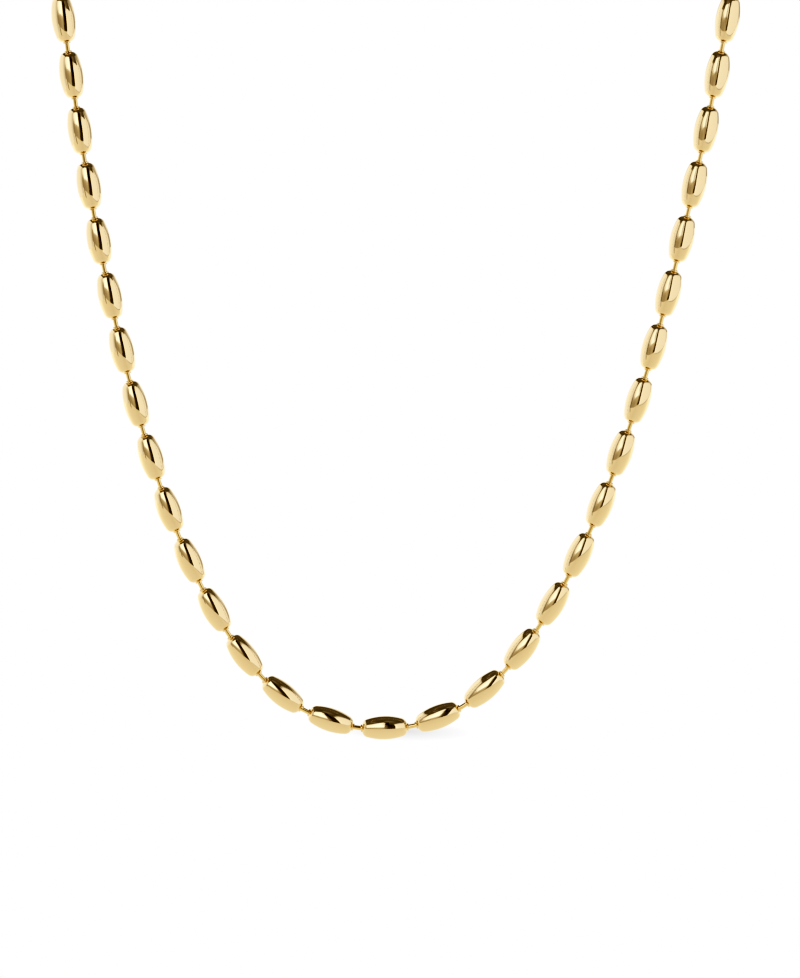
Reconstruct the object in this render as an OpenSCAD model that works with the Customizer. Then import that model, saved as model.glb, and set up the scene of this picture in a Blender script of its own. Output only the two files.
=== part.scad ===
// Barrel bead chain necklace, closed round a neck with a bolt-ring clasp at the nape.
// It hangs in millimetres with +Z up, its front strands in an upright plane that faces -Y.
// The origin is the middle of the neck opening, level with the sides of the loop.

/* [Beads] */
// Number of barrel beads on the chain
bead_count = 55; // [49:2:67]
// Diameter of a bead at its middle
bead_d = 3.85; // [3.4:0.05:4.6]
// Length of a bead between its two end faces
bead_len = 7.4; // [6.8:0.1:8.2]
// Radius of the long arc that bows a bead's side
side_r = 9.7; // [8:0.1:12]
// Radius of the round shoulder at each end of a bead
shoulder_r = 1.15; // [0.8:0.05:1.2]
// Thickness of a bead's metal wall
wall = 0.25; // [0.2:0.05:0.35]
// Height of the rolled lip round a bead's hole
lip_h = 0.2; // [0.15:0.05:0.35]
// Thickness of the rolled lip
lip_w = 0.1; // [0.1:0.01:0.2]

/* [Bars] */
// Diameter of the bar between two beads
bar_d = 0.72; // [0.5:0.02:0.84]
// Diameter of the ball on each end of a bar
ball_d = 1.3; // [1.16:0.02:1.5]
// Gap between the end faces of two neighbouring beads
bead_gap = 1.6; // [1.2:0.1:2.2]
// Furthest that a bar leans in a bead's hole, in degrees
lean = 10; // [8:0.5:11]
// Clear space between a bar and the bead that holds it
clearance = 0.11; // [0.08:0.01:0.12]

/* [Neck] */
// Width of the loop at the sides of the neck
neck_w = 115; // [100:1:130]
// Radius of the turn where a front strand bends back over the shoulder
turn_r = 28; // [26:1:34]
// Slope of the loop from the sides of the neck up to the nape, in degrees
nape_rise = 25; // [10:1:40]
// Radius of the loop at each side of the neck
neck_side_r = 40; // [34:1:50]
// Angle that the side arc turns through before the flatter nape arc, in degrees
neck_side_turn = 45; // [35:1:55]
// How far the middle bead sits to the right of the lowest point
slip = 1.4; // [-4:0.1:4]

/* [Clasp] */
// Diameter of the clasp's ring, to the middle of its wire
clasp_d = 5.2; // [4.6:0.1:6.4]
// Diameter of the clasp's wire
clasp_wire_d = 1.3; // [1:0.1:1.6]
// Length of the clasp's thumb knob outside its wire
knob_h = 0.7; // [0.4:0.1:1]
// Diameter of the thumb knob
knob_d = 0.7; // [0.5:0.1:0.9]
// Diameter of the jump ring, to the middle of its wire
jump_d = 3.3; // [3:0.1:4.2]
// Diameter of the jump ring's wire
jump_wire_d = 0.7; // [0.5:0.1:0.8]
// Diameter of each small eye, to the middle of its wire
eye_d = 1.9; // [1.8:0.1:2.4]
// Diameter of the wire of each small eye
eye_wire_d = 0.6; // [0.5:0.05:0.65]
// Bare bar that shows between the last bead's lip and its eye
eye_neck = 0.45; // [0.3:0.05:1]
// Slack between two rings that hold each other
play = 0.2; // [0.16:0.02:0.3]

/* [Hidden] */
gold = [0.87, 0.70, 0.36];
turn_sides = 48;
arc_sides = 200;
deg = 180 / PI;

// Bead: the shoulder's arc sits inside the side's arc and touches it.
bead_r = bead_d / 2;
half_len = bead_len / 2;
shoulder_z = half_len - shoulder_r;
shoulder_x = bead_r - side_r + sqrt(pow(side_r - shoulder_r, 2) - pow(shoulder_z, 2));

// Bar: it pivots in the middle of a bead's hole, and its ball then stays clear of the hole's inner edge.
bar_r = bar_d / 2;
ball_r = ball_d / 2;
hole_reach = (wall + lip_h) / 2;
hole_r = (bar_r + clearance) / cos(lean) + hole_reach * tan(lean);
edge_turn = hole_r * sin(lean) + hole_reach * cos(lean);
ball_reach = edge_turn
    + sqrt(pow(edge_turn, 2) + pow(ball_r + clearance, 2) - pow(hole_r, 2) - pow(hole_reach, 2));
pivot_reach = half_len + lip_h - hole_reach;
bar_reach = bead_gap / 2 - lip_h + hole_reach;
ball_depth = ball_reach + hole_reach - lip_h;

// Rings: centre distance of two rings that hold each other almost taut.
function hooked(d1, wire1, d2, wire2) = (d1 + d2 - wire1 - wire2) / 2 - play;
eye_reach = lip_h + eye_neck + (eye_d + eye_wire_d) / 2;
clasp_eye_offset = (clasp_d + clasp_wire_d + eye_d) / 2 - eye_wire_d / 4;

// Chain: distances along it, counted from the lowest point up the right strand.
pitch = bead_len + bead_gap;
last_bead = (bead_count - 1) / 2;
end_face = slip + last_bead * pitch + half_len;
right_eye_at = end_face + eye_reach;
clasp_eye_at = right_eye_at + hooked(eye_d, eye_wire_d, eye_d, eye_wire_d);
clasp_at = clasp_eye_at + clasp_eye_offset;
jump_at = clasp_at + hooked(clasp_d, clasp_wire_d, jump_d, jump_wire_d);
left_eye_at = jump_at + hooked(jump_d, jump_wire_d, eye_d, eye_wire_d);
chain_len = left_eye_at + eye_reach - end_face + bead_count * pitch - bead_gap;

// Loop behind the front: a turn over the shoulder, a side arc and a flatter nape arc.
turn_angle = 90 - nape_rise;
turn_len = turn_r * turn_angle / deg;
centre_step = (neck_w / 2 - neck_side_r) / cos(neck_side_turn);
nape_r = neck_side_r + centre_step;
side_len = neck_side_r * neck_side_turn / deg;
nape_len = nape_r * (90 - neck_side_turn) / deg;
nape_reach = nape_r - centre_step * sin(neck_side_turn);

// Front: the strands hang in a catenary, but a bead at the bottom turns no further than its bars lean.
front_len = chain_len / 2 - turn_len - side_len - nape_len;
bow_r = pitch / (2 * lean) * deg;
function asinh(x) = ln(x + sqrt(x * x + 1));
function bow_half(a, low, high, steps) =
    let (mid = (low + high) / 2)
    steps == 0 ? mid
    : mid < atan(bow_r / a * mid / deg) ? bow_half(a, mid, high, steps - 1)
    : bow_half(a, low, mid, steps - 1);
function front_half(a) =
    let (bow = bow_half(a, 0, 90, 40), s = bow_r * bow / deg)
    bow_r * sin(bow) + a * (asinh(front_len / a) - asinh(s / a)) + turn_r * sin(turn_angle) * cos(atan(front_len / a));
function hang_size(low, high, steps) =
    let (mid = (low + high) / 2)
    steps == 0 ? mid
    : front_half(mid) < neck_w / 2 ? hang_size(mid, high, steps - 1)
    : hang_size(low, mid, steps - 1);
hang_a = hang_size(1, neck_w, 40);
bow_angle = bow_half(hang_a, 0, 90, 40);
bow_len = bow_r * bow_angle / deg;
bow_end = bow_r * [sin(bow_angle), 0, 1 - cos(bow_angle)];
front_end = hang_point(front_len);
front_slope = atan(front_len / hang_a);
turn_end = turn_point(turn_len);
loop_depth = turn_end.y + nape_reach * cos(nape_rise);
origin = [0, loop_depth / 2, turn_end.z];

// Points of the right half of the route, by distance from the lowest point.
function bow_point(s) = bow_r * [sin(s / bow_r * deg), 0, 1 - cos(s / bow_r * deg)];
function hang_point(s) =
    bow_end + [
        hang_a * (asinh(s / hang_a) - asinh(bow_len / hang_a)),
        0,
        sqrt(pow(hang_a, 2) + pow(s, 2)) - sqrt(pow(hang_a, 2) + pow(bow_len, 2))
    ];
function turn_point(s) =
    let (angle = s / turn_r * deg)
    front_end + turn_r * [
        sin(angle) * cos(front_slope),
        1 - cos(angle),
        sin(angle) * sin(front_slope)
    ];
function neck_arc(s) =
    s < side_len
    ? let (angle = s / neck_side_r * deg)
        [neck_w / 2 - neck_side_r, 0] + neck_side_r * [cos(angle), sin(angle)]
    : let (angle = neck_side_turn + (s - side_len) / nape_r * deg)
        [0, -centre_step * sin(neck_side_turn)] + nape_r * [cos(angle), sin(angle)];
function nape_point(s) =
    let (p = neck_arc(s))
    [p.x, turn_end.y + p.y * cos(nape_rise), turn_end.z + p.y * sin(nape_rise)];
function half_route(s) =
    s < bow_len ? bow_point(s)
    : s < front_len ? hang_point(s)
    : s < front_len + turn_len ? turn_point(s - front_len)
    : nape_point(s - front_len - turn_len);
function route(s) =
    let (u = s - chain_len * round(s / chain_len), p = half_route(abs(u)))
    [sign(u) * p.x, p.y, p.z] - origin;

// Sets a straight piece on the route, its middle at distance s and its local Z from end to end.
module on_route(s, reach) {
    low = route(s - reach);
    high = route(s + reach);
    step = high - low;
    translate((low + high) / 2)
        rotate([0, acos(step.z / norm(step)), atan2(step.y, step.x)])
            children();
}

// Half of a bead's section, drawn in by an inset.
module bead_half(inset) {
    meet_z = shoulder_z * (side_r - inset) / (side_r - shoulder_r);
    end_z = half_len - inset;
    intersection() {
        translate([bead_r - side_r, 0]) circle(r = side_r - inset, $fn = arc_sides);
        translate([0, -meet_z]) square([bead_r, 2 * meet_z]);
    }
    intersection() {
        union() {
            for (end = [-1, 1])
                translate([shoulder_x, end * shoulder_z]) circle(r = shoulder_r - inset, $fn = turn_sides);
            translate([0, -end_z]) square([shoulder_x, 2 * end_z]);
        }
        translate([0, -half_len]) square([bead_r, bead_len]);
    }
}

// Rolled lip round the hole, with a round rim.
module lip_half(end) {
    rim_r = lip_w / 2;
    foot = half_len - wall;
    rim_z = half_len + lip_h - rim_r;
    translate([hole_r, end > 0 ? foot : -rim_z]) square([lip_w, rim_z - foot]);
    translate([hole_r + rim_r, end * rim_z]) circle(r = rim_r, $fn = turn_sides);
}

module bead() {
    rotate_extrude($fn = turn_sides) {
        difference() {
            bead_half(0);
            bead_half(wall);
            translate([0, -bead_len]) square([hole_r, 2 * bead_len]);
        }
        for (end = [-1, 1])
            lip_half(end);
    }
}

// Round bar along Z, from its ball at the bottom to the height given.
module ball_bar(top) {
    rotate_extrude($fn = turn_sides) {
        square([bar_r, top]);
        intersection() {
            circle(r = ball_r, $fn = turn_sides);
            translate([0, -ball_r]) square([ball_r, ball_d]);
        }
    }
}

module bar_link() {
    ball_z = bead_gap / 2 + ball_depth;
    translate([0, 0, -ball_z]) ball_bar(ball_z);
    rotate([180, 0, 0]) translate([0, 0, -ball_z]) ball_bar(ball_z);
}

module ring(d, wire_d) {
    rotate_extrude($fn = turn_sides)
        translate([d / 2, 0]) circle(d = wire_d, $fn = turn_sides);
}

// A flat ring lies against the neck, and a cross ring stands out from it.
module flat_ring(d, wire_d) {
    rotate([90, 0, 0]) ring(d, wire_d);
}

module cross_ring(d, wire_d) {
    rotate([0, 90, 0]) ring(d, wire_d);
}

// End bar along Z: its ball sits in the last bead below, and its eye is at the local origin.
module eye_bar() {
    drop = eye_reach + ball_depth;
    translate([0, 0, -drop]) ball_bar(drop - eye_d / 2);
    children();
}

module barrel_beads() {
    color(gold)
        for (i = [-last_bead : last_bead])
            on_route(slip + i * pitch, pivot_reach) bead();
}

module bar_links() {
    color(gold)
        for (i = [-last_bead : last_bead - 1])
            on_route(slip + (i + 0.5) * pitch, bar_reach) bar_link();
}

module eye_link_right() {
    color(gold)
        on_route(right_eye_at, eye_reach)
            eye_bar() cross_ring(eye_d, eye_wire_d);
}

module eye_link_left() {
    color(gold)
        on_route(left_eye_at, eye_reach)
            rotate([180, 0, 0]) eye_bar() flat_ring(eye_d, eye_wire_d);
}

module clasp() {
    color(gold)
        on_route(clasp_at, clasp_d / 2) {
            flat_ring(clasp_d, clasp_wire_d);
            translate([0, 0, -clasp_eye_offset]) flat_ring(eye_d, eye_wire_d);
            rotate([0, 90, 0])
                translate([0, 0, clasp_d / 2])
                    cylinder(d = knob_d, h = clasp_wire_d / 2 + knob_h, $fn = turn_sides);
        }
}

module jump_ring() {
    color(gold)
        on_route(jump_at, jump_d / 2) cross_ring(jump_d, jump_wire_d);
}

barrel_beads();
bar_links();
eye_link_right();
eye_link_left();
clasp();
jump_ring();
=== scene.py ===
import math

import bpy
import numpy as np
from mathutils import Matrix, Vector


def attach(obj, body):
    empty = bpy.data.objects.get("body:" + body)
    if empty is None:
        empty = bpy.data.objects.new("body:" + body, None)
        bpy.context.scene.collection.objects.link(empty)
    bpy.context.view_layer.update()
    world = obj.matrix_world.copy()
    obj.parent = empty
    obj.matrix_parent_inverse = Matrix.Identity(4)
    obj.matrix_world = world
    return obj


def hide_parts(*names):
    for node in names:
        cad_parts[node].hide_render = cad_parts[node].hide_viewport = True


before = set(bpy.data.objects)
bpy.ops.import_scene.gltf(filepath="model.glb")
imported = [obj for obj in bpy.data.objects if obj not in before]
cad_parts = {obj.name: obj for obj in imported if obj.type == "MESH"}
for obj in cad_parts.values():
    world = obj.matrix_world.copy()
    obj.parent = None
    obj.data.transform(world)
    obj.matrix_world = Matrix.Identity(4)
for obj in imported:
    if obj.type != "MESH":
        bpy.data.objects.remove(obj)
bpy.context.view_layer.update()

MM = 0.001

# Decimals of a metre to which points of a CAD mesh are taken as one.
SAME_POINT_DIGITS = 7

# An axis counts as near Y where at least this share of its unit length lies along Y.
NEAR_Y = 0.9

# Bead: the section that the CAD bead has.
BEAD_R = 1.925
HALF_LEN = 3.7
SIDE_R = 9.7
SHOULDER_R = 1.15
WALL = 0.25
LIP_H = 0.2
LIP_W = 0.1
HOLE_R = 0.517
LIP_FILLET = 0.06

# Bar: a ball on each end of a short wire.
BAR_R = 0.36
BALL_R = 0.65
BALL_Z = 1.734
NECK_FILLET = 0.05

# Faces round a bead and a bar, and steps along each arc of their sections.
BEAD_SIDES = 44
BAR_SIDES = 28
SIDE_STEPS = 8
SHOULDER_STEPS = 5
LIP_STEPS = 4
FILLET_STEPS = 2
INSIDE_STEPS = 2
BALL_STEPS = 9

# Gold: two close tones for the beads and two for the bars, mixed by a soft noise.
BEAD_TONES = ((0.91, 0.77, 0.555), (0.895, 0.75, 0.525))
# The bars are the same gold as the beads. Their deeper, more amber tones are painted reflection of the gold
# around them.
BAR_TONES_WITH_PAINTED_REFLECTION = ((0.90, 0.73, 0.46), (0.88, 0.70, 0.42))
TONE_SCALE = 260.0
TONE_DETAIL = 3.0

# Fine polishing marks: the range of their noise that counts, and the roughness that it gives.
MARK_SCALE = 2600.0
MARK_DETAIL = 5.0
MARK_RANGE = (0.35, 0.7)
ROUGHNESS = (0.03, 0.085)

# Faint unevenness of the polished surface.
SWELL_SCALE = 420.0
SWELL_DETAIL = 1.0
SWELL_HEIGHT = 0.03
SWELL_STRENGTH = 0.27

# Camera: the point of the front strands' plane that it looks at, and how far down it looks.
CAMERA_DISTANCE = 800
PICTURE_HEIGHT = 158.47
LOOK_RIGHT = 2.88
LOOK_UP = 39.25
LOOK_DOWN = 7.0
ROLL = 1.48
SENSOR = 36
CLIP_NEAR = 10
CLIP_FAR = 20000

# Tone curve of the picture, as levels before and after, and its place among the four curves.
TONE_CURVE = ((0.12, 0.003), (0.24, 0.06), (0.4, 0.25), (0.6, 0.53), (0.8, 0.8))
ALL_COLOURS = 3

# Tints of the studio's surfaces.
WHITE = (1.0, 1.0, 1.0)
FLOOR_TINT = (1.0, 0.97, 0.875)
FLOOR_REAR_TINT = (1.0, 0.985, 0.94)
POST_TINT = (1.0, 0.955, 0.90)
WINDOW_TINT = (0.94, 0.98, 1.0)
WINDOW_SIDE_TINT = (1.0, 0.985, 0.95)
WALL_TINT = (1.0, 0.945, 0.86)
DARK_TINT = (1.0, 0.96, 0.88)

# Floor, below the lowest bead, and the line where its warm front part ends.
FLOOR_DROP = 15
FLOOR_FRONT = -300
FLOOR_SEAM = 60
FLOOR_BACK = 1400
FLOOR_SIDE = 900

# Left card: how far it stands to the left. Ledge: how high it starts.
LEFT_CARD_X = -268
LEDGE_FOOT = 60

# Front wall, window and slot: how far they stand in front of the chain, and where they start and end.
FRONT_Y = -900
FRONT_WALL_FOOT = -1000
WINDOW_FOOT = 172
SLOT_FOOT = -60
SLOT_TOP = 700

# Gauze: how far it hangs in front of the chain.
GAUZE_Y = -157

# Dark flag over the chain: its height, its rear edge and the level there.
FLAG_RISE = 172
FLAG_REAR = -12
FLAG_REAR_LEVEL = 0.22

# Faint shadow under the lowest beads, from the lowest bead's middle.
SHADOW_RIGHT = 4.6
SHADOW_BACK = 10.5
SHADOW_DROP = 2.3
SHADOW_HALF_WIDTH = 10.8
SHADOW_HALF_DEPTH = 9.5
SHADOW_LEVEL = 0.77

# Dark room: its level rises where the Z of a direction goes through this range.
ROOM_RISE = (0.5, 0.85)
ROOM_LEVELS = (0.17, 0.26)


def connected(count, triangles):
    """A label for each point, the same for all points that triangles join."""
    edges = np.concatenate([triangles[:, [0, 1]], triangles[:, [1, 2]], triangles[:, [2, 0]]])
    label = np.arange(count)
    settled = False
    while not settled:
        lowest = label[edges].min(axis=1)
        spread = label.copy()
        np.minimum.at(spread, edges[:, 0], lowest)
        np.minimum.at(spread, edges[:, 1], lowest)
        spread = spread[spread]
        settled = bool((spread == label).all())
        label = spread
    return label


def islands(node):
    """Points of a CAD node in metres, with the triangles of one loose solid, for each loose solid."""
    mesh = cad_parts[node].data
    points = np.empty(len(mesh.vertices) * 3)
    mesh.vertices.foreach_get("co", points)
    mesh.calc_loop_triangles()
    corners = np.empty(len(mesh.loop_triangles) * 3, int)
    mesh.loop_triangles.foreach_get("vertices", corners)
    points = points.reshape(-1, 3).round(SAME_POINT_DIGITS)
    points, merged = np.unique(points, axis=0, return_inverse=True)
    triangles = merged.ravel()[corners].reshape(-1, 3)
    owner = connected(len(points), triangles)[triangles[:, 0]]
    return [(points, triangles[owner == k]) for k in np.unique(owner)]


def spine(points, triangles):
    """Middle and long axis of a solid of revolution, from the areas of its triangles."""
    a, b, c = (points[triangles[:, k]] for k in range(3))
    area = np.linalg.norm(np.cross(b - a, c - a), axis=1)
    share = area / area.sum()
    middle = ((a + b + c) / 3 * share[:, None]).sum(axis=0)
    spread = np.zeros((3, 3))
    for p, q in ((a, b), (b, c), (c, a)):
        m = (p + q) / 2 - middle
        spread += (m * share[:, None]).T @ m
    return middle, np.linalg.eigh(spread)[1][:, -1]


def places(node):
    """Middle and axis of each loose solid in a node, from left to right."""
    found = [spine(*island) for island in islands(node)]
    return sorted(found, key=lambda place: place[0][0])


def arc(centre, radius, start, end, steps, inward=False):
    """Section points on an arc, each with the angle of its outward normal.

    Angles are in degrees and count up from the direction away from the axis.
    """
    turn = 180 if inward else 0
    angles = np.linspace(start, end, steps + 1)
    return [
        (
            centre[0] + radius * math.cos(math.radians(a)),
            centre[1] + radius * math.sin(math.radians(a)),
            a + turn,
        )
        for a in angles
    ]


def mirrored(section):
    """The same section points below the middle, in the order that carries on from above."""
    return [(r, -z, -angle) for r, z, angle in reversed(section)]


def rolled_lip(shoulder):
    """Section of a bead's lip, from the shoulder round into the hole, and the angle at which it starts."""
    fillet_x = HOLE_R + LIP_W + LIP_FILLET
    reach = SHOULDER_R + LIP_FILLET
    foot = math.degrees(math.acos((fillet_x - shoulder[0]) / reach))
    fillet = (fillet_x, shoulder[1] + reach * math.sin(math.radians(foot)))
    rim_r = LIP_W / 2
    rim = (HOLE_R + rim_r, HALF_LEN + LIP_H - rim_r)
    round_fillet = arc(fillet, LIP_FILLET, 180 + foot, 180, FILLET_STEPS, inward=True)[1:]
    return round_fillet + arc(rim, rim_r, 0, 180, LIP_STEPS), foot


def bead_section():
    """Closed section of a hollow bead with a rolled lip round each hole."""
    reach = SIDE_R - SHOULDER_R
    shoulder_z = HALF_LEN - SHOULDER_R
    meet = math.degrees(math.asin(shoulder_z / reach))
    side = (BEAD_R - SIDE_R, 0)
    shoulder = (side[0] + reach * math.cos(math.radians(meet)), shoulder_z)
    lip, foot = rolled_lip(shoulder)
    outer_end = arc(shoulder, SHOULDER_R, meet, foot, SHOULDER_STEPS)[1:] + lip
    inner_r = SHOULDER_R - WALL
    inner_foot = math.degrees(math.acos((HOLE_R - shoulder[0]) / inner_r))
    inner_end = arc(shoulder, inner_r, inner_foot, meet, INSIDE_STEPS, inward=True)
    outside = arc(side, SIDE_R, -meet, meet, SIDE_STEPS)
    inside = arc(side, SIDE_R - WALL, meet, -meet, INSIDE_STEPS, inward=True)[1:-1]
    return outside + outer_end + inner_end + inside + mirrored(inner_end) + mirrored(outer_end)


def bar_section():
    """Section of a bar and its two balls, open at the axis at both ends."""
    reach = BALL_R + NECK_FILLET
    fillet_x = BAR_R + NECK_FILLET
    neck = math.degrees(math.asin(fillet_x / reach))
    fillet = (fillet_x, BALL_Z - reach * math.cos(math.radians(neck)))
    round_fillet = arc(fillet, NECK_FILLET, 180, 90 + neck, FILLET_STEPS, inward=True)
    upper = round_fillet + arc((0, BALL_Z), BALL_R, neck - 90, 90, BALL_STEPS)[1:-1]
    return mirrored(upper) + upper


def crosswise(axis):
    """Two directions square to an axis and to each other."""
    is_near_y = abs(axis[1]) >= NEAR_Y
    helper = np.array([0.0, 0.0, 1.0]) if is_near_y else np.array([0.0, 1.0, 0.0])
    first = np.cross(helper, axis)
    first /= np.linalg.norm(first)
    return first, np.cross(axis, first)


def turned_rings(section, middle, axis, sides):
    """Points and normals of a section in millimetres, turned about an axis, one ring after another."""
    turn = np.linspace(0, 2 * math.pi, sides, endpoint=False)
    out = np.stack([np.cos(turn), np.sin(turn)]).T @ np.stack(crosswise(axis))
    radius, height, angle = (section[:, k, None, None] for k in range(3))
    slope = np.radians(angle)
    points = middle + MM * (radius * out + height * axis)
    normals = np.cos(slope) * out + np.sin(slope) * axis
    return points.reshape(-1, 3), normals.reshape(-1, 3)


def ring_faces(start, count, sides, closed):
    """Quads from each ring of a turned solid to the next, and from the last to the first if closed."""
    faces = []
    for i in range(count if closed else count - 1):
        low = start + i * sides
        high = start + (i + 1) % count * sides
        for k in range(sides):
            n = (k + 1) % sides
            faces.append((low + k, low + n, high + n, high + k))
    return faces


def tip_faces(start, count, sides):
    """Triangles from the first and last ring of a turned solid to its tips, which follow its rings."""
    first_tip = start + count * sides
    last_ring = first_tip - sides
    faces = []
    for k in range(sides):
        n = (k + 1) % sides
        faces.append((first_tip, start + n, start + k))
        faces.append((first_tip + 1, last_ring + k, last_ring + n))
    return faces


def scene_object(name, data):
    """A new object in the scene."""
    thing = bpy.data.objects.new(name, data)
    bpy.context.scene.collection.objects.link(thing)
    return thing


def turned(name, section, spots, sides, tip=None):
    """One mesh of many solids of revolution: a section in millimetres, turned about the axis at each spot.

    With a tip, the section is open and ends on the axis, that far from the middle both ways.
    """
    section = np.array(section)
    count = len(section)
    points, normals, faces = [], [], []
    for middle, axis in spots:
        start = sum(len(p) for p in points)
        ring_points, ring_normals = turned_rings(section, middle, axis, sides)
        points.append(ring_points)
        normals.append(ring_normals)
        faces += ring_faces(start, count, sides, closed=tip is None)
        if tip is not None:
            points.append(np.array([middle - MM * tip * axis, middle + MM * tip * axis]))
            normals.append(np.array([-axis, axis]))
            faces += tip_faces(start, count, sides)
    mesh = bpy.data.meshes.new(name)
    mesh.from_pydata(np.concatenate(points).tolist(), [], faces)
    mesh.polygons.foreach_set("use_smooth", [True] * len(mesh.polygons))
    mesh.normals_split_custom_set_from_vertices(np.concatenate(normals).tolist())
    return scene_object(name, mesh)


def new_material(name):
    """An empty node material, and its node tree."""
    material = bpy.data.materials.new(name)
    material.use_nodes = True
    material.node_tree.nodes.clear()
    return material, material.node_tree


def finish_tree(tree, shader, output="ShaderNodeOutputMaterial"):
    """Joins the last shader of a node tree to its output."""
    end = tree.nodes.new(output)
    tree.links.new(shader, end.inputs["Surface"])


def noise(tree, place, scale, detail):
    """Values of a noise over a place."""
    node = tree.nodes.new("ShaderNodeTexNoise")
    node.inputs["Scale"].default_value = scale
    node.inputs["Detail"].default_value = detail
    tree.links.new(place, node.inputs["Vector"])
    return node.outputs["Fac"]


def carried(tree, value, source, target):
    """A value carried over from one range to another."""
    node = tree.nodes.new("ShaderNodeMapRange")
    for side, (least, most) in (("From", source), ("To", target)):
        node.inputs[side + " Min"].default_value = least
        node.inputs[side + " Max"].default_value = most
    tree.links.new(value, node.inputs["Value"])
    return node.outputs["Result"]


def stored_level(tree):
    """The level that is stored at the corners of a sheet."""
    node = tree.nodes.new("ShaderNodeAttribute")
    node.attribute_name = "level"
    return node.outputs["Fac"]


def emission(tree, tint=WHITE, level=None):
    """A plain glow of one tint, at a level of its own where one is given."""
    node = tree.nodes.new("ShaderNodeEmission")
    node.inputs["Color"].default_value = (*tint, 1.0)
    if level is not None:
        tree.links.new(level, node.inputs["Strength"])
    return node.outputs["Emission"]


def camera_split(tree, mirrored_shader, seen_shader):
    """One shader for what the camera sees, and another for what is mirrored or lit."""
    path = tree.nodes.new("ShaderNodeLightPath")
    both = tree.nodes.new("ShaderNodeMixShader")
    tree.links.new(path.outputs["Is Camera Ray"], both.inputs["Fac"])
    tree.links.new(mirrored_shader, both.inputs[1])
    tree.links.new(seen_shader, both.inputs[2])
    return both.outputs["Shader"]


def gold_tone(tree, place, tones):
    """Two close tones of gold, mixed by a soft noise."""
    mix = tree.nodes.new("ShaderNodeMix")
    mix.data_type = "RGBA"
    for side, tone in zip("AB", tones):
        mix.inputs[side].default_value = (*tone, 1.0)
    tree.links.new(noise(tree, place, TONE_SCALE, TONE_DETAIL), mix.inputs["Factor"])
    return mix.outputs["Result"]


def uneven_surface(tree, place):
    """Normals of a faintly uneven surface."""
    bump = tree.nodes.new("ShaderNodeBump")
    bump.inputs["Strength"].default_value = SWELL_STRENGTH
    bump.inputs["Distance"].default_value = SWELL_HEIGHT * MM
    tree.links.new(noise(tree, place, SWELL_SCALE, SWELL_DETAIL), bump.inputs["Height"])
    return bump.outputs["Normal"]


def polished_gold(name, tones):
    """Polished gold: two close tones, fine polishing marks and a faintly uneven surface."""
    material, tree = new_material(name)
    place = tree.nodes.new("ShaderNodeTexCoord").outputs["Object"]
    shader = tree.nodes.new("ShaderNodeBsdfPrincipled")
    shader.inputs["Metallic"].default_value = 1.0
    marks = noise(tree, place, MARK_SCALE, MARK_DETAIL)
    tree.links.new(gold_tone(tree, place, tones), shader.inputs["Base Color"])
    tree.links.new(carried(tree, marks, MARK_RANGE, ROUGHNESS), shader.inputs["Roughness"])
    tree.links.new(uneven_surface(tree, place), shader.inputs["Normal"])
    finish_tree(tree, shader.outputs["BSDF"])
    return material


def glow_material(name, tint=WHITE, camera_white=False):
    """A plain glowing surface with the level stored at its corners, or plain white to the camera."""
    material, tree = new_material(name)
    shader = emission(tree, tint, stored_level(tree))
    if camera_white:
        shader = camera_split(tree, shader, emission(tree))
    finish_tree(tree, shader)
    return material


def gauze_material(name):
    """A thin dark gauze that lets through the share of light stored at its corners."""
    material, tree = new_material(name)
    clear = tree.nodes.new("ShaderNodeBsdfTransparent")
    tree.links.new(stored_level(tree), clear.inputs["Color"])
    finish_tree(tree, clear.outputs["BSDF"])
    return material


def glowing_grid(name, rows, material, seen=False):
    """A sheet of quads from rows of (x, y, z, level) in millimetres from the lowest bead.

    The camera sees only the sheets that say so.
    """
    width = len(rows[0])
    corners = [corner for row in rows for corner in row]
    points = [tuple(hang_point + MM * Vector(corner[:3])) for corner in corners]
    faces = [
        (i * width + k, i * width + k + 1, (i + 1) * width + k + 1, (i + 1) * width + k)
        for i in range(len(rows) - 1)
        for k in range(width - 1)
    ]
    mesh = bpy.data.meshes.new(name)
    mesh.from_pydata(points, [], faces)
    levels = mesh.attributes.new("level", "FLOAT", "POINT")
    levels.data.foreach_set("value", [corner[3] for corner in corners])
    mesh.materials.append(material)
    sheet = scene_object(name, mesh)
    sheet.visible_camera = seen


def studio_wall(name, columns, rows, material, foot=-FLOOR_DROP):
    """An upright glowing wall that the gold mirrors and the camera doesn't see.

    Columns are (x, y, top, level) along it, and rows are (share of height, share of level).
    """
    grid = [
        [(x, y, foot + share * (top - foot), level * strength) for x, y, top, level in columns]
        for share, strength in rows
    ]
    glowing_grid(name, grid, material)


def in_front(columns):
    """Columns (x, top, level) of a wall in front of the chain, as studio_wall takes them."""
    return [(x, FRONT_Y, top, level) for x, top, level in columns]


def make_floor():
    """Pale floor in a warm front part and a whiter rear part. Both are white to the camera."""
    warm = glow_material("pale_floor", tint=FLOOR_TINT, camera_white=True)
    plain = glow_material("pale_floor_rear", tint=FLOOR_REAR_TINT, camera_white=True)
    # Share of the level at each x.
    sides = (
        (-FLOOR_SIDE, 1.14),
        (-200, 1.1),
        (-100, 1.06),
        (-50, 1.03),
        (0, 1.0),
        (50, 1.03),
        (100, 1.05),
        (200, 1.06),
        (FLOOR_SIDE, 1.05),
    )
    # Level at each y.
    front = ((FLOOR_FRONT, 0.78), (-100, 0.8), (-28, 0.84), (15, 0.92), (FLOOR_SEAM, 1.0))
    rear = ((FLOOR_SEAM, 1.06), (FLOOR_BACK, 1.1))
    for name, rows, material in (("floor", front, warm), ("floor_rear", rear, plain)):
        grid = [[(x, y, -FLOOR_DROP, level * side) for x, side in sides] for y, level in rows]
        glowing_grid(name, grid, material, seen=True)


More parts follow.
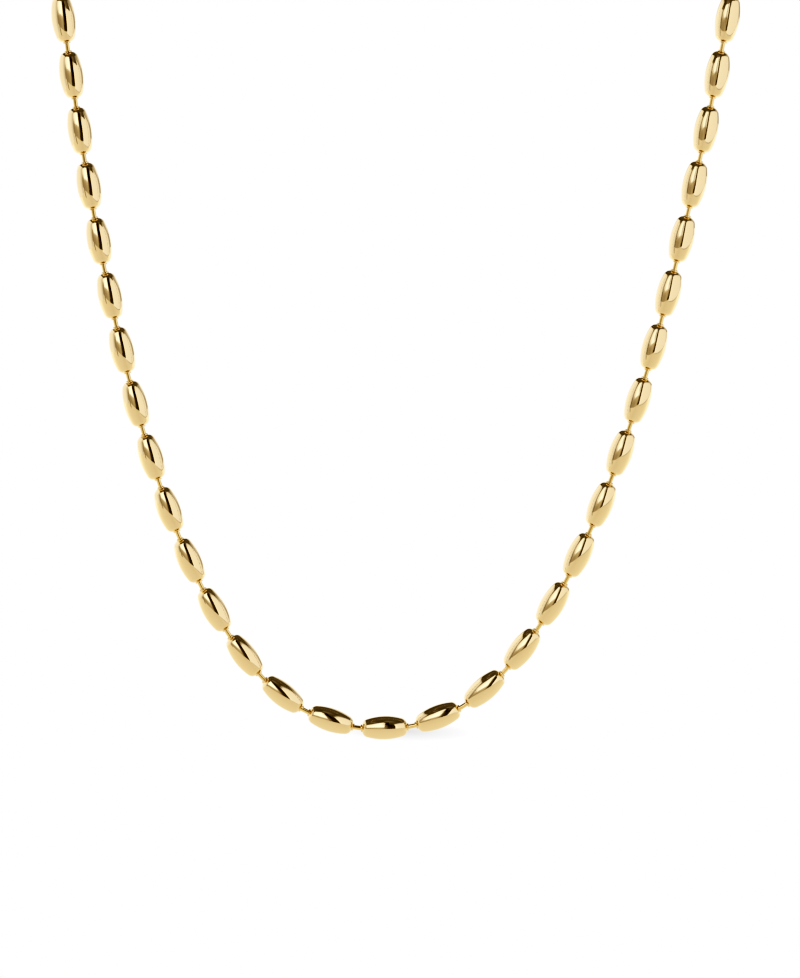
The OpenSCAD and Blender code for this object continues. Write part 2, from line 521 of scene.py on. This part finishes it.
def make_right_cards(white):
    """White cards to the right: one runs slantwise to the rear, and a taller one stands beyond it."""
    card_columns = [
        (88, -230, 240, 1.16),
        (112, -204, 262, 1.02),
        (150, -162, 330, 1.0),
        (220, -86, 345, 0.98),
        (362, 68, 335, 0.96),
        (470, 186, 320, 0.93),
        (540, 262, 310, 0.64),
        (740, 480, 290, 0.6),
    ]
    card_rows = [(0, 0.55), (0.013, 0.6), (0.03, 1), (0.7, 1), (0.82, 0.92), (0.87, 0.56), (1, 0.42)]
    studio_wall("right_card", card_columns, card_rows, white)
    rear_columns = [(740, 480, 1000, 0.66), (1100, 300, 1000, 0.6), (1100, -300, 1000, 0.5)]
    studio_wall("right_rear", rear_columns, [(0, 1), (0.6, 1), (1, 0.5)], white)


def make_ledge(white):
    """A dim ledge at the right rear."""
    columns = [(290, 455, 205, 0.75), (350, 455, 225, 0.52), (735, 465, 250, 0.5)]
    studio_wall("rear_ledge", columns, [(0, 1), (1, 1)], white, foot=LEDGE_FOOT)


def make_left_card(white):
    """A white card to the left, and a small warm post nearer the chain."""
    # Columns (y, top, level) along the card.
    card = ((-150, 330, 0.66), (-90, 325, 0.84), (-30, 320, 0.99), (120, 319, 1.04), (460, 319, 1.14))
    card_columns = [(LEFT_CARD_X, y, top, level) for y, top, level in card]
    studio_wall("left_card", card_columns, [(0, 1), (0.9, 1), (1, 0.6)], white)
    warm = glow_material("studio_post_glow", tint=POST_TINT)
    post_columns = [(-195, -135, 125, 0.38), (-155, -135, 110, 0.42)]
    studio_wall("left_post", post_columns, [(0, 1), (1, 1.2)], warm)


def make_backdrop(white):
    """The white backdrop behind the chain, darker towards its top."""
    columns = [(-400, 460, 300, 0.95), (0, 500, 340, 1.02), (262, 490, 560, 1.02), (740, 480, 620, 0.86)]
    studio_wall("backdrop", columns, [(0, 1.1), (0.35, 1.05), (0.62, 0.75), (1, 0.45)], white)


def make_front_wall(warm):
    """The dim wall in front, from far below the chain up to the window."""
    columns = in_front(
        [
            (-1560, 370, 0.5),
            (-1000, 300, 0.57),
            (-600, 240, 0.56),
            (-420, 225, 0.57),
            (-260, 212, 0.65),
            (-120, 200, 0.64),
            (-20, 180, 0.52),
        ]
    )
    rows = [(0, 0.9), (0.816, 0.9), (0.865, 0.95), (0.914, 1.03), (0.955, 1.12), (1, 1.2)]
    studio_wall("front_wall", columns, rows, warm, foot=FRONT_WALL_FOOT)


def make_window():
    """The bright window in front, and its dimmer side towards the left."""
    cool = glow_material("studio_window_glow", tint=WINDOW_TINT)
    columns = in_front([(-725, 1150, 1.18), (-400, 1400, 1.32), (-150, 1600, 1.38), (-25, 1250, 1.2)])
    rows = [(0, 0.68), (0.035, 0.84), (0.085, 1), (0.55, 1), (0.8, 0.85), (1, 0.6)]
    studio_wall("window", columns, rows, cool, foot=WINDOW_FOOT)
    plain = glow_material("studio_window_side_glow", tint=WINDOW_SIDE_TINT)
    side_columns = in_front(
        [(-1560, 1200, 0.64), (-1200, 1200, 0.84), (-900, 1220, 1.07), (-725, 1150, 1.18)]
    )
    side_rows = [(0, 0.56), (0.1, 0.66), (0.25, 0.93), (0.35, 1.03), (0.8, 1), (1, 0.5)]
    studio_wall("window_side", side_columns, side_rows, plain, foot=WINDOW_FOOT)


def make_slot(warm):
    """The dark slot behind the camera, to the right of the window."""
    # Level at each x.
    inside = ((-20, 0.4), (65, 0.3), (95, 0.17), (225, 0.15))
    columns = in_front([(x, SLOT_TOP, level) for x, level in inside])
    rows = [(0, 1), (0.2, 1), (0.28, 1.2), (0.42, 1), (1, 0.9)]
    studio_wall("slot_inside", columns, rows, warm, foot=SLOT_FOOT)


def make_gauze():
    """A dark gauze between the chain and the slot, thinner near the floor."""
    # Share of light let through at each x, and how much more of it at each z.
    columns = ((-40, 1.0), (-12, 0.76), (4, 0.55), (25, 0.45))
    rows = ((-FLOOR_DROP, 2.5), (60, 2.5), (95, 1.6), (125, 1.05), (150, 1.0), (230, 1.25), (330, 1.35))
    grid = [[(x, GAUZE_Y, z, min(1.0, share * more)) for x, share in columns] for z, more in rows]
    glowing_grid("gauze", grid, gauze_material("dark_gauze"))


def make_flag():
    """A dark flag just above the chain, with a lobe in front of each strand."""
    # Near edge of the flag, as (x, y, level).
    edge = (
        (-88, -56, 0.48),
        (-76, -80, 0.4),
        (-50, -84, 0.25),
        (-22, -64, 0.2),
        (0, -72, 0.4),
        (20, -86, 0.4),
        (46, -88, 0.3),
        (68, -66, 0.2),
        (92, -58, 0.42),
        (115, -40, 0.5),
    )
    near = [(x, y, FLAG_RISE, level) for x, y, level in edge]
    rear = [(x, FLAG_REAR, FLAG_RISE, FLAG_REAR_LEVEL) for x, _, _ in edge]
    glowing_grid("flag", [near, rear], glow_material("dark_flag", tint=DARK_TINT))


def make_shadow():
    """The faint grey shadow beside and under the lowest beads, seen by the camera alone."""
    material, tree = new_material("faint_shadow")
    fade = tree.nodes.new("ShaderNodeTexGradient")
    fade.gradient_type = "SPHERICAL"
    place = tree.nodes.new("ShaderNodeTexCoord").outputs["Object"]
    tree.links.new(place, fade.inputs["Vector"])
    level = carried(tree, fade.outputs["Fac"], (0.0, 1.0), (1.0, SHADOW_LEVEL))
    finish_tree(tree, emission(tree, level=level))
    mesh = bpy.data.meshes.new("floor_shadow")
    mesh.from_pydata([(-1, -1, 0), (1, -1, 0), (1, 1, 0), (-1, 1, 0)], [], [(0, 1, 2, 3)])
    mesh.materials.append(material)
    sheet = scene_object("floor_shadow", mesh)
    sheet.location = hang_point + MM * Vector((SHADOW_RIGHT, SHADOW_BACK, -SHADOW_DROP))
    sheet.scale = (MM * SHADOW_HALF_WIDTH, MM * SHADOW_HALF_DEPTH, 1.0)
    for way in ("visible_glossy", "visible_diffuse", "visible_transmission", "visible_shadow"):
        setattr(sheet, way, False)


def make_studio():
    """All that the gold mirrors, and the floor with its shadow."""
    white = glow_material("studio_card_glow")
    warm = glow_material("studio_wall_glow", tint=WALL_TINT)
    make_floor()
    make_right_cards(white)
    make_ledge(white)
    make_left_card(white)
    make_backdrop(white)
    make_front_wall(warm)
    make_window()
    make_slot(warm)
    make_gauze()
    make_flag()
    make_shadow()


def background(tree, tint):
    """A plain background of one tint."""
    node = tree.nodes.new("ShaderNodeBackground")
    node.inputs["Color"].default_value = (*tint, 1.0)
    return node


def make_world():
    """White behind everything for the camera, and a dark brown room for the reflections."""
    world = bpy.data.worlds.new("studio_room")
    bpy.context.scene.world = world
    world.use_nodes = True
    tree = world.node_tree
    tree.nodes.clear()
    place = tree.nodes.new("ShaderNodeTexCoord")
    parts = tree.nodes.new("ShaderNodeSeparateXYZ")
    tree.links.new(place.outputs["Generated"], parts.inputs["Vector"])
    room = background(tree, DARK_TINT)
    tree.links.new(carried(tree, parts.outputs["Z"], ROOM_RISE, ROOM_LEVELS), room.inputs["Strength"])
    seen = background(tree, WHITE).outputs["Background"]
    finish_tree(tree, camera_split(tree, room.outputs["Background"], seen), "ShaderNodeOutputWorld")


def make_camera():
    """Camera that looks down a little on the front strands, rolled a little about its own line of sight."""
    data = bpy.data.cameras.new("camera")
    camera = scene_object("camera", data)
    data.sensor_width = SENSOR
    data.lens = SENSOR * CAMERA_DISTANCE / PICTURE_HEIGHT
    data.clip_start = MM * CLIP_NEAR
    data.clip_end = MM * CLIP_FAR
    down = math.radians(LOOK_DOWN)
    back = Vector((0, -math.cos(down), math.sin(down)))
    camera.location = hang_point + MM * (Vector((LOOK_RIGHT, 0, LOOK_UP)) + CAMERA_DISTANCE * back)
    level_view = Matrix.Rotation(math.radians(90), 3, "X")
    rolled = Matrix.Rotation(-math.radians(ROLL), 3, "Y") @ level_view
    camera.rotation_euler = (Matrix.Rotation(-down, 3, "X") @ rolled).to_euler()
    bpy.context.scene.camera = camera


def make_look():
    """The picture's contrast: deep shadows with more colour, and highlights as they are."""
    look = bpy.context.scene.view_settings
    look.view_transform = "Standard"
    look.look = "None"
    look.use_curve_mapping = True
    tones = look.curve_mapping.curves[ALL_COLOURS]
    for before, after in TONE_CURVE:
        tones.points.new(before, after)
    look.curve_mapping.update()


bead_spots = places("barrel_beads")
bar_spots = places("bar_links")

# The lowest bead's middle, moved to the middle of the necklace, from which the studio is measured.
hang_point = Vector(min((middle for middle, _ in bead_spots), key=lambda m: m[2]))
hang_point.x = 0.0

bead_gold = polished_gold("bead_gold_polished", BEAD_TONES)
bar_gold = polished_gold("bar_gold_polished_painted_reflection", BAR_TONES_WITH_PAINTED_REFLECTION)

beads = turned("gold_beads", bead_section(), bead_spots, BEAD_SIDES)
beads.data.materials.append(bead_gold)
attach(beads, "root")
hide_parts("barrel_beads")

bars = turned("gold_bars", bar_section(), bar_spots, BAR_SIDES, tip=BALL_Z + BALL_R)
bars.data.materials.append(bar_gold)
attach(bars, "root")
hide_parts("bar_links")

# The clasp, rings and eye links take the bars' gold, with its deeper tones of painted reflection.
for name in ("eye_link_right", "eye_link_left", "clasp", "jump_ring"):
    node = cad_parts[name]
    node.data.materials.clear()
    node.data.materials.append(bar_gold)

make_studio()
make_world()
make_camera()
make_look()
